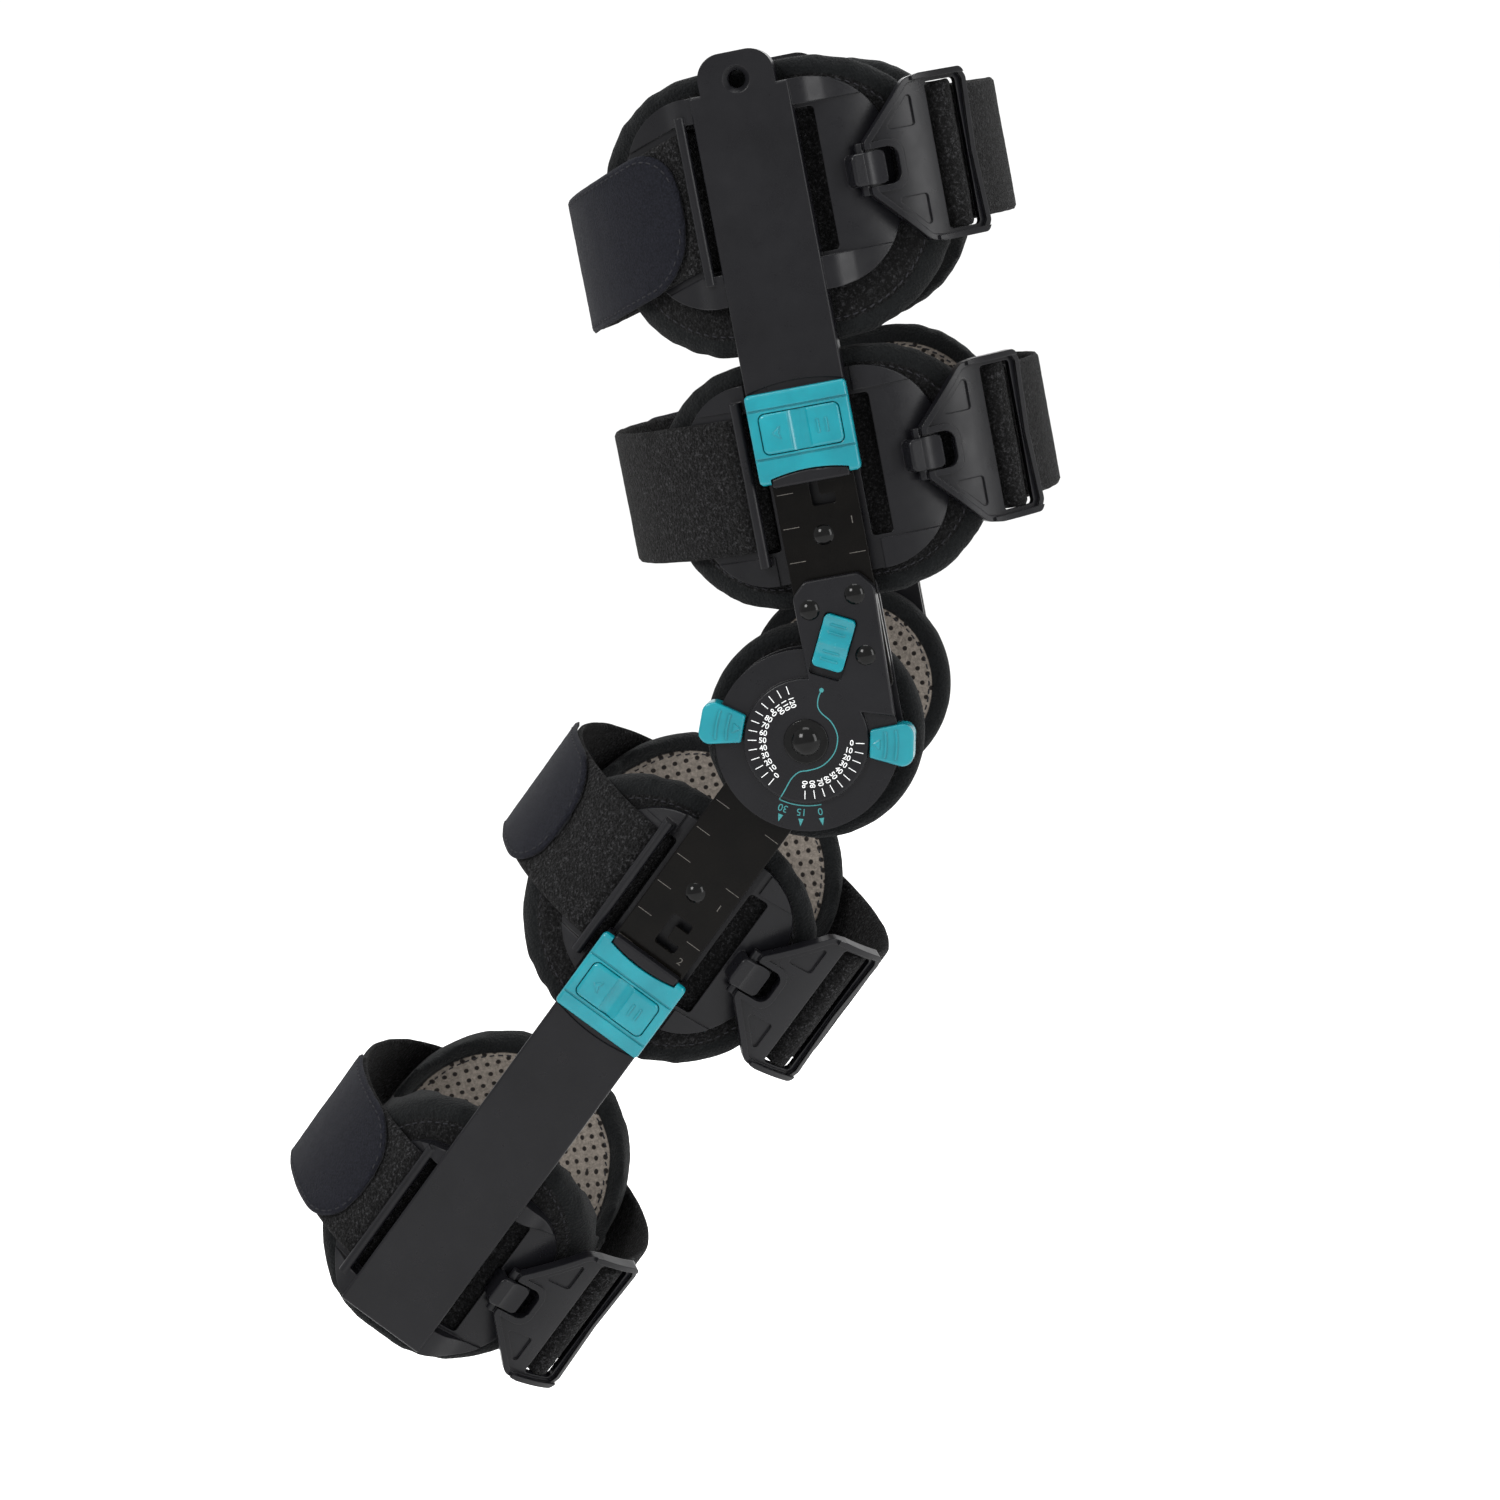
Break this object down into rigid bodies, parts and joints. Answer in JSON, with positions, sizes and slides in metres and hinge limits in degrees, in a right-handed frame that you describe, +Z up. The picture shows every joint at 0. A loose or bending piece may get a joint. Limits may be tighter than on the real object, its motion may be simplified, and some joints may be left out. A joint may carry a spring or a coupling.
{
  "type": "hinged knee brace",
  "caption": "Hinged leg brace with telescoping side uprights, dial hinges with adjustable stops, padded cuffs and strap buckles.",
  "frame": {"origin": "knee hinge axis, midway between the lateral and medial hinges", "axes": "+Z up along the thigh uprights, +X to the front of the leg, -Y to the lateral side that carries the buckles"},
  "size_m": [0.3496, 0.1734, 0.4908],
  "materials": {
    "steel_black": "gloss",
    "plastic_black": "satin",
    "plastic_teal": "gloss",
    "rivet_black": "gloss",
    "washer_nylon": "satin",
    "foam_pad": "matt, covered foam",
    "loop_webbing": "matt, napped",
    "hook_tab": "matt, smooth"
  },
  "bodies": {
    "thigh_frame": {"thigh_bar_lat": "steel_black", "thigh_bar_med": "steel_black", "hinge_cover_lat": "plastic_black", "hinge_cover_med": "plastic_black", "hinge_back_lat": "plastic_black", "hinge_back_med": "plastic_black", "hinge_axles": "rivet_black", "hinge_washers": "washer_nylon", "thigh_rivets": "rivet_black", "thigh_low_shell_lat": "plastic_black", "thigh_low_shell_med": "plastic_black", "thigh_low_pad_lat": "foam_pad", "thigh_low_pad_med": "foam_pad", "condyle_pad_lat": "foam_pad", "condyle_pad_med": "foam_pad", "thigh_low_strap": "loop_webbing", "thigh_low_tab": "hook_tab"},
    "thigh_slider": {"thigh_sleeve_lat": "plastic_black", "thigh_sleeve_med": "plastic_black", "thigh_clip_lat": "plastic_teal", "thigh_clip_med": "plastic_teal", "thigh_top_pad_lat": "foam_pad", "thigh_top_pad_med": "foam_pad", "thigh_top_strap": "loop_webbing", "thigh_top_tab": "hook_tab"},
    "calf_frame": {"calf_bar_lat": "steel_black", "calf_bar_med": "steel_black", "calf_high_shell_lat": "plastic_black", "calf_high_shell_med": "plastic_black", "calf_high_pad_lat": "foam_pad", "calf_high_pad_med": "foam_pad", "calf_rivets": "rivet_black", "calf_high_strap": "loop_webbing", "calf_high_tab": "hook_tab"},
    "calf_slider": {"calf_sleeve_lat": "plastic_black", "calf_sleeve_med": "plastic_black", "calf_clip_lat": "plastic_teal", "calf_clip_med": "plastic_teal", "calf_low_pad_lat": "foam_pad", "calf_low_pad_med": "foam_pad", "calf_low_strap": "loop_webbing", "calf_low_tab": "hook_tab"},
    "thigh_button_lat": {"thigh_button_lat": "plastic_teal"},
    "thigh_button_med": {"thigh_button_med": "plastic_teal"},
    "calf_button_lat": {"calf_button_lat": "plastic_teal"},
    "calf_button_med": {"calf_button_med": "plastic_teal"},
    "drop_lock_lat": {"drop_lock_lat": "plastic_teal"},
    "drop_lock_med": {"drop_lock_med": "plastic_teal"},
    "flexion_stop_lat": {"flexion_stop_lat": "plastic_teal"},
    "flexion_stop_med": {"flexion_stop_med": "plastic_teal"},
    "extension_stop_lat": {"extension_stop_lat": "plastic_teal"},
    "extension_stop_med": {"extension_stop_med": "plastic_teal"},
    "thigh_top_buckle": {"thigh_top_buckle": "plastic_black", "thigh_top_loop": "loop_webbing"},
    "thigh_low_buckle": {"thigh_low_buckle": "plastic_black", "thigh_low_loop": "loop_webbing"},
    "calf_high_buckle": {"calf_high_buckle": "plastic_black", "calf_high_loop": "loop_webbing"},
    "calf_low_buckle": {"calf_low_buckle": "plastic_black", "calf_low_loop": "loop_webbing"}
  },
  "joints": [
    {"name": "knee_flexion", "type": "hinge", "parent": "thigh_frame", "child": "calf_frame", "pos_m": [0, 0, 0], "axis": [0, 1, 0], "range_deg": [-46.5, 43.5]},
    {"name": "thigh_length", "type": "slide", "parent": "thigh_frame", "child": "thigh_slider", "axis": [0, 0, 1], "range_m": [0, 0.0508]},
    {"name": "calf_length", "type": "slide", "parent": "calf_frame", "child": "calf_slider", "axis": [-0.7254, 0, -0.6884], "range_m": [-0.0254, 0.0508]},
    {"name": "thigh_button_lat_press", "type": "slide", "parent": "thigh_slider", "child": "thigh_button_lat", "axis": [0, 1, 0], "range_m": [0, 0.0012], "stiffness_N_per_m": 600},
    {"name": "calf_button_lat_press", "type": "slide", "parent": "calf_slider", "child": "calf_button_lat", "axis": [0, 1, 0], "range_m": [0, 0.0012], "stiffness_N_per_m": 600},
    {"name": "drop_lock_lat_slide", "type": "slide", "parent": "thigh_frame", "child": "drop_lock_lat", "axis": [-0.4462, 0, -0.8949], "range_m": [0, 0.003]},
    {"name": "flexion_stop_lat_turn", "type": "hinge", "parent": "thigh_frame", "child": "flexion_stop_lat", "pos_m": [0, 0, 0], "axis": [0, 1, 0], "range_deg": [-60, 58]},
    {"name": "extension_stop_lat_turn", "type": "hinge", "parent": "thigh_frame", "child": "extension_stop_lat", "pos_m": [0, 0, 0], "axis": [0, 1, 0], "range_deg": [0, 90]},
    {"name": "thigh_button_med_press", "type": "slide", "parent": "thigh_slider", "child": "thigh_button_med", "axis": [0, -1, 0], "range_m": [0, 0.0012], "stiffness_N_per_m": 600},
    {"name": "calf_button_med_press", "type": "slide", "parent": "calf_slider", "child": "calf_button_med", "axis": [0, -1, 0], "range_m": [0, 0.0012], "stiffness_N_per_m": 600},
    {"name": "drop_lock_med_slide", "type": "slide", "parent": "thigh_frame", "child": "drop_lock_med", "axis": [-0.4462, 0, -0.8949], "range_m": [0, 0.003]},
    {"name": "flexion_stop_med_turn", "type": "hinge", "parent": "thigh_frame", "child": "flexion_stop_med", "pos_m": [0, 0, 0], "axis": [0, 1, 0], "range_deg": [-60, 58]},
    {"name": "extension_stop_med_turn", "type": "hinge", "parent": "thigh_frame", "child": "extension_stop_med", "pos_m": [0, 0, 0], "axis": [0, 1, 0], "range_deg": [0, 90]},
    {"name": "thigh_top_buckle_swing", "type": "hinge", "parent": "thigh_slider", "child": "thigh_top_buckle", "pos_m": [0.0584, -0.0728, 0.2005], "axis": [0, 0, -1], "range_deg": [0, 35]},
    {"name": "thigh_low_buckle_swing", "type": "hinge", "parent": "thigh_frame", "child": "thigh_low_buckle", "pos_m": [0.05949, -0.06955, 0.0955], "axis": [0, 0, -1], "range_deg": [0, 35]},
    {"name": "calf_high_buckle_swing", "type": "hinge", "parent": "calf_frame", "child": "calf_high_buckle", "pos_m": [-0.04187, -0.06626, -0.08444], "axis": [-0.7254, 0, -0.6884], "range_deg": [0, 35]},
    {"name": "calf_low_buckle_swing", "type": "hinge", "parent": "calf_slider", "child": "calf_low_buckle", "pos_m": [-0.15738, -0.06768, -0.19153], "axis": [-0.7254, 0, -0.6884], "range_deg": [0, 35]}
  ]
}
